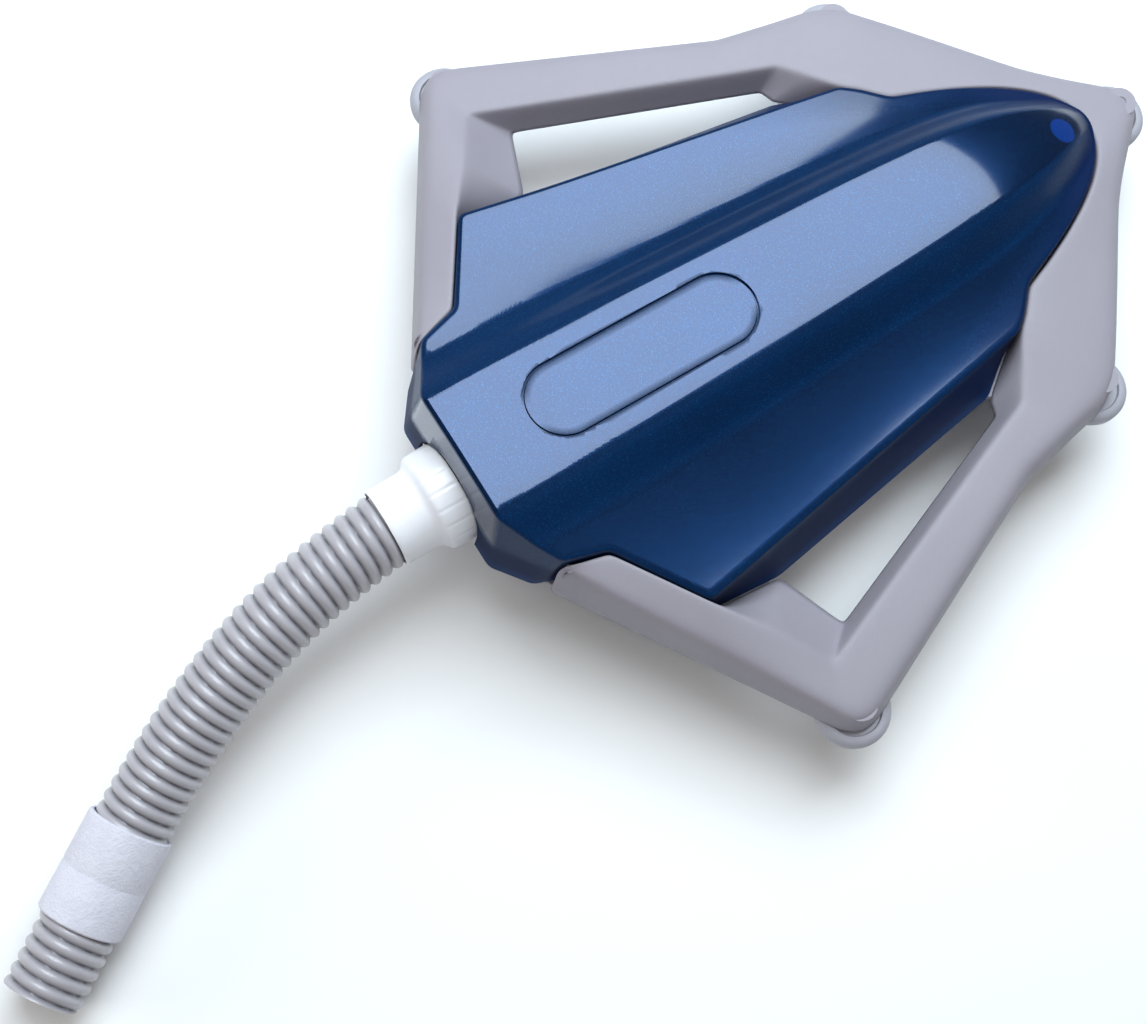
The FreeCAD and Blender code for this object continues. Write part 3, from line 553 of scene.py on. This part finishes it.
shell_blue, at = material("shell_blue", Base_Color=rgb(0.002, 0.026, 0.085), Roughness=0.24, Metallic=0.4,
                          Coat_Weight=0.45, Coat_Roughness=0.08, Coat_IOR=1.5, Specular_IOR_Level=0.12)
flake = at.node("ShaderNodeSeparateXYZ", ins={0: at.cells(2600.0, "Color")})
sparkle = flake.ramp(0.80, 1.0)
cloud = at.noise(14.0, 3.0)
body_colour = cloud.mix(rgb(0.0005, 0.013, 0.054), rgb(0.0008, 0.023, 0.088))
lit = (sparkle * 0.45).mix(body_colour, rgb(0.003, 0.075, 0.19))
on_top = at.axis("Z").ramp(0.0775, 0.0840)
steep = at.node("ShaderNodeAttribute", out=2, attribute_name="steep")
on_flat = on_top * (steep * -0.85 + 1.0)
(on_flat * 0.86).into("Coat Weight")
(on_flat * 0.60 + 0.02).into("Metallic")
wall_colour = at.axis("Z").ramp(0.0650, 0.0590).mix(rgb(0.0015, 0.012, 0.060), rgb(0.003, 0.028, 0.110))
rim_colour = on_top.mix(wall_colour, lit)
x, y = at.axis("X"), at.axis("Y")
# The brighter round spot on the crown's nose.
boss = ((x - 0.169) ** 2.0 + (y + 0.0035) ** 2.0).ramp(0.0080**2, 0.0068**2)
(boss * 0.85).mix(rim_colour, rgb(0.006, 0.075, 0.46)).into("Base Color")
(at.noise(800.0) * 0.08 + on_flat * -0.30 + 0.50).into("Roughness")
at.cells(2600.0).bump(0.0001, 0.06).into("Normal")
shell = piece("top_shell_lid", bm, "lid", shell_blue, "blue_shell", "top_shell", smooth=40.0)


def cutter(name, bm):
    """A closed body that is taken away from the shell."""
    mesh = bpy.data.meshes.new(name)
    bmesh.ops.recalc_face_normals(bm, faces=bm.faces)
    bm.to_mesh(mesh)
    bm.free()
    obj = bpy.data.objects.new(name, mesh)
    bpy.context.scene.collection.objects.link(obj)
    return obj


# The tail's arch, round the collar.
bm = bmesh.new()
angles = [math.pi * k / 48 for k in range(49)]
outline = [(ARCH_R * math.cos(a), COLLAR_Z + ARCH_R * math.sin(a)) for a in angles]
outline += [(-ARCH_R, 0.040), (ARCH_R, 0.040)]
arch = bm.faces.new([bm.verts.new((-0.230, y, z)) for y, z in outline])
made = bmesh.ops.extrude_face_region(bm, geom=[arch])
far_end = [v for v in made["geom"] if isinstance(v, bmesh.types.BMVert)]
bmesh.ops.translate(bm, vec=(0.035, 0, 0), verts=far_end)
arch_cutter = cutter("arch_cutter", bm)

# The blank pill-shaped badge field, sunk into the crown.
bm = bmesh.new()


def pill(radius):
    """The badge outline, shrunk to that end radius: points from the nose end round."""
    ends = [(-53.0, -math.pi / 2), (-144.0, math.pi / 2)]
    return [(x + radius * math.cos(start + math.pi * k / 40), radius * math.sin(start + math.pi * k / 40))
            for x, start in ends for k in range(41)]


GROOVE_DEPTH = 1.5
FIELD_DEPTH = 0.45
steps = [(0.0, GROOVE_DEPTH), (1.0, GROOVE_DEPTH)]
steps += [(shrink, FIELD_DEPTH) for shrink in (1.5, 5.0, 9.0, 13.0, 17.0, 20.3)]
rings = [[bm.verts.new((x / 1000, y / 1000, 0.130)) for x, y in pill(PILL_R)]]
for shrink, depth in steps:
    places = [(x / 1000, y / 1000, (shell_z(x, y) - depth) / 1000) for x, y in pill(PILL_R - shrink)]
    rings.append([bm.verts.new(place) for place in places])
ring_walls(bm, rings)
bm.faces.new(rings[0])
bm.faces.new(rings[-1])
pill_cutter = cutter("pill_cutter", bm)

skin = shell.modifiers.new("wall", "SOLIDIFY")
skin.thickness, skin.offset = SHELL_WALL, -1.0
for tool in (arch_cutter, pill_cutter):
    cut = shell.modifiers.new(tool.name, "BOOLEAN")
    cut.operation, cut.solver, cut.object = "DIFFERENCE", "EXACT", tool
bpy.context.view_layer.update()
final = bpy.data.meshes.new_from_object(shell.evaluated_get(bpy.context.evaluated_depsgraph_get()))
shell.modifiers.clear()
shell.data = final
# How steep each point stands sideways, which the material reads: the flakes lie flat on flat faces.
steepness = final.attributes.new("steep", "FLOAT", "POINT")
for v, value in zip(final.vertices, steepness.data):
    value.value = min(max((abs(v.normal.y) - 0.18) / 0.21, 0.0), 1.0)
for tool in (arch_cutter, pill_cutter):
    bpy.data.objects.remove(tool)
shell.data.shade_smooth()
shell.data.set_sharp_from_angle(angle=math.radians(40.0))

# ---- bumper rollers -----------------------------------------------------------------------------
# Five grey plastic wheels that lie flat under the frame's corners and turn on upright pins.
# Each has a rounded tread, a dished face and a hub.
ROLLER_Z = 0.0495
roller_grey, at = material("roller_grey", Base_Color=rgb(0.36, 0.355, 0.40), Roughness=0.5)
at.noise(70.0, 3.0).mix(rgb(0.335, 0.33, 0.375), rgb(0.385, 0.38, 0.425)).into("Base Color")
(at.noise(400.0) * 0.2 + 0.40).into("Roughness")
at.noise(1100.0).bump(0.0003, 0.25).into("Normal")
side = []
for k in range(9):
    a = math.pi / 2 * k / 8
    side.append((0.0155 + 0.004 * math.sin(a), 0.0012 + 0.004 * math.cos(a)))
upper = [(0.00408, 0.0052), (0.0072, 0.0052), (0.0078, 0.0034), (0.0136, 0.0034), (0.0142, 0.0052)] + side
profile = upper + [(r, -z) for r, z in reversed(upper)]
for name, (px, py) in ROLLERS.items():
    bm = turned(profile, (px / 1000, py / 1000, ROLLER_Z), (0, 0, 1))
    piece("roller_" + name + "_turned", bm, "roller_" + name + "_body", roller_grey, "roller_grey",
          "roller_" + name)

# ---- debris bag -----------------------------------------------------------------------------------
# The bag that catches the leaves, woven in pale mesh and a little slack. It lies under the lid
# and is held by its round collar on the vacuum tube.
BAG_FLOOR = 68.6
bm = bmesh.new()
bag = [(-44.0, 20.0, 92.0), (-36.0, 25.0, 97.0), (40.0, 22.5, 96.0), (100.0, 19.0, 93.0), (140.0, 12.0, 84.0),
       (152.0, 8.0, 78.0)]
rings = []
for k in range(49):
    x = -43.5 + 195.0 * k / 48
    half_y, crest = eased(bag, x)
    close = math.sqrt(max(0.0, 1 - (abs(k - 24) / 24.6) ** 8))
    ring = []
    for n in range(48):
        a = 2 * math.pi * n / 48
        sx, cz = math.cos(a), math.sin(a)
        width = half_y * (1.75 if cz < 0 else 1.0 + 0.75 * (1 - cz) ** 1.5)
        middle, tall = (BAG_FLOOR + crest) / 2, (crest - BAG_FLOOR) / 2
        slack = 1.0 - 0.05 * (0.5 + 0.5 * noise.noise(Vector((x / 14, sx * 3, cz * 3))))
        px = math.copysign(abs(sx) ** 0.6, sx) * width * slack * (0.75 + 0.25 * close)
        pz = middle + math.copysign(abs(cz) ** 0.6, cz) * tall * slack * (0.8 + 0.2 * close)
        ring.append(bm.verts.new((x / 1000, px / 1000, pz / 1000)))
    rings.append(ring)
ring_walls(bm, rings)
bm.faces.new(rings[0])
bm.faces.new(list(reversed(rings[-1])))
bmesh.ops.recalc_face_normals(bm, faces=bm.faces)
bag_mesh, at = material("bag_mesh", Base_Color=rgb(0.72, 0.75, 0.72), Roughness=0.9)
weave = (at.axis("X") * 4200.0).math("SINE") * (at.axis("Y") * 4200.0).math("SINE")
weave.ramp(-0.3, 0.5).mix(rgb(0.35, 0.37, 0.36), rgb(0.78, 0.81, 0.78)).into("Base Color")
weave.bump(0.0004, 0.6).into("Normal")
piece("debris_bag_cloth", bm, "base", bag_mesh, "bag_mesh", "debris_bag", smooth=70.0)

# ---- base and everything inside it --------------------------------------------------------------------
# The moulded grey base with its tub and forks, the pipes and jets, the floats, the ballast, the
# steel pins and screws: their shapes are already right, so they only get their finishes.


def finish_nodes(finish, *names):
    """Gives CAD parts a material and leaves their shapes alone."""
    for name in names:
        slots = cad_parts[name].data.materials
        slots.clear()
        slots.append(finish)


base_grey, at = material("base_grey", Base_Color=rgb(0.25, 0.245, 0.285), Roughness=0.6)
at.noise(16.0, 4.0).mix(rgb(0.225, 0.22, 0.26), rgb(0.265, 0.26, 0.30)).into("Base Color")
(at.noise(220.0) * 0.18 + 0.50).into("Roughness")
at.noise(1300.0, 3.0).bump(0.0003, 0.35).into("Normal")
finish_nodes(base_grey, "base_pan")

pipe_grey, at = material("pipe_grey", Base_Color=rgb(0.50, 0.51, 0.55), Roughness=0.42)
at.noise(40.0, 3.0).mix(rgb(0.46, 0.47, 0.51), rgb(0.54, 0.55, 0.59)).into("Base Color")
(at.noise(300.0) * 0.2 + 0.34).into("Roughness")
at.noise(900.0).bump(0.0003, 0.25).into("Normal")
finish_nodes(pipe_grey, "vacuum_tube", "jet_ring", "thrust_pipe")
finish_nodes(collar_white, "hose_tailpiece", "feed_pipe", "thrust_nozzle", "venturi_jets", "bag_collar",
             "roller_washers")

steel, at = material("steel", Base_Color=rgb(0.60, 0.60, 0.61), Roughness=0.3, Metallic=1.0)
streaks = at.node("ShaderNodeVectorMath", ins={0: at, 1: (1.0, 1.0, 14.0)}, operation="MULTIPLY")
(streaks.noise(700.0) * 0.2 + 0.2).into("Roughness")
at.noise(60.0).mix(rgb(0.56, 0.56, 0.57), rgb(0.64, 0.64, 0.65)).into("Base Color")
at.noise(1600.0).bump(0.0001, 0.2).into("Normal")
finish_nodes(steel, "hinge_pin", "roller_pins", "wheel_pins", "frame_screws", "ballast_screw")

rubber, at = material("rubber", Base_Color=rgb(0.03, 0.03, 0.034), Roughness=0.7)
(at.noise(200.0) * 0.2 + 0.58).into("Roughness")
at.noise(90.0).mix(rgb(0.024, 0.024, 0.027), rgb(0.040, 0.040, 0.044)).into("Base Color")
at.noise(1200.0).bump(0.0003, 0.4).into("Normal")
finish_nodes(rubber, "collar_seal")

wheel_dark, at = material("wheel_dark", Base_Color=rgb(0.06, 0.06, 0.07), Roughness=0.5)
at.noise(120.0, 3.0).mix(rgb(0.05, 0.05, 0.058), rgb(0.075, 0.075, 0.085)).into("Base Color")
(at.noise(350.0) * 0.2 + 0.42).into("Roughness")
at.noise(900.0).bump(0.0003, 0.3).into("Normal")
finish_nodes(wheel_dark, "wheel_rear_left", "wheel_rear_right", "wheel_front_left", "wheel_front_right")

foam, at = material("foam", Base_Color=rgb(0.62, 0.65, 0.68), Roughness=0.95)
at.cells(420.0).ramp(0.0, 0.6).mix(rgb(0.50, 0.53, 0.56), rgb(0.68, 0.71, 0.74)).into("Base Color")
at.cells(420.0).bump(0.0008, 0.6).into("Normal")
finish_nodes(foam, "tub_floats", "crown_float")

coated, at = material("coated_steel", Base_Color=rgb(0.05, 0.05, 0.055), Roughness=0.5)
(at.noise(260.0) * 0.2 + 0.42).into("Roughness")
at.noise(90.0).mix(rgb(0.045, 0.045, 0.05), rgb(0.06, 0.06, 0.066)).into("Base Color")
at.noise(600.0, 4.0).bump(0.0005, 0.5).into("Normal")
finish_nodes(coated, "ballast_weight")

# ---- floor and light ------------------------------------------------------------------------------------
# A plain pale floor, a broad soft box overhead that the crown and the left wing mirror, and
# two fill lights that nothing mirrors.
bm = bmesh.new()
bmesh.ops.create_grid(bm, x_segments=1, y_segments=1, size=20.0)
floor_mesh = bpy.data.meshes.new("floor")
bm.to_mesh(floor_mesh)
bm.free()
floor = bpy.data.objects.new("floor", floor_mesh)
bpy.context.scene.collection.objects.link(floor)
floor_white, at = material("floor_white", Base_Color=rgb(0.86, 0.86, 0.86), Roughness=0.85)
at.noise(3.0).mix(rgb(0.855, 0.855, 0.855), rgb(0.87, 0.87, 0.87)).into("Base Color")
floor_mesh.materials.append(floor_white)


def area_light(name, place, target, size, power, colour=(1.0, 1.0, 1.0), mirrored=True):
    lamp = bpy.data.lights.new(name, "AREA")
    lamp.shape, lamp.size, lamp.size_y = "RECTANGLE", size[0], size[1]
    lamp.energy, lamp.color = power, colour
    obj = bpy.data.objects.new(name, lamp)
    bpy.context.scene.collection.objects.link(obj)
    obj.location = place
    obj.rotation_euler = (Vector(target) - Vector(place)).to_track_quat("-Z", "Y").to_euler()
    obj.visible_glossy = mirrored


area_light("soft_box", (0.50, 0.60, 1.5), (0.50, 0.6001, 0.0), (1.6, 1.22), 44.5, (0.80, 0.92, 1.0))
area_light("top_fill", (-0.3, -0.2, 1.9), (0.0, 0.0, 0.0), (2.2, 2.2), 16.0, (1.0, 0.97, 0.93),
           mirrored=False)
area_light("side_fill", (-1.6, 0.9, 0.7), (0.0, 0.0, 0.06), (1.2, 0.8), 9.0, mirrored=False)
world = bpy.data.worlds.new("studio")
world.use_nodes = True
world.node_tree.nodes["Background"].inputs["Color"].default_value = (0.93, 0.95, 1.0, 1.0)
world.node_tree.nodes["Background"].inputs["Strength"].default_value = 0.10
bpy.context.scene.world = world
bpy.context.scene.view_settings.view_transform = "Standard"
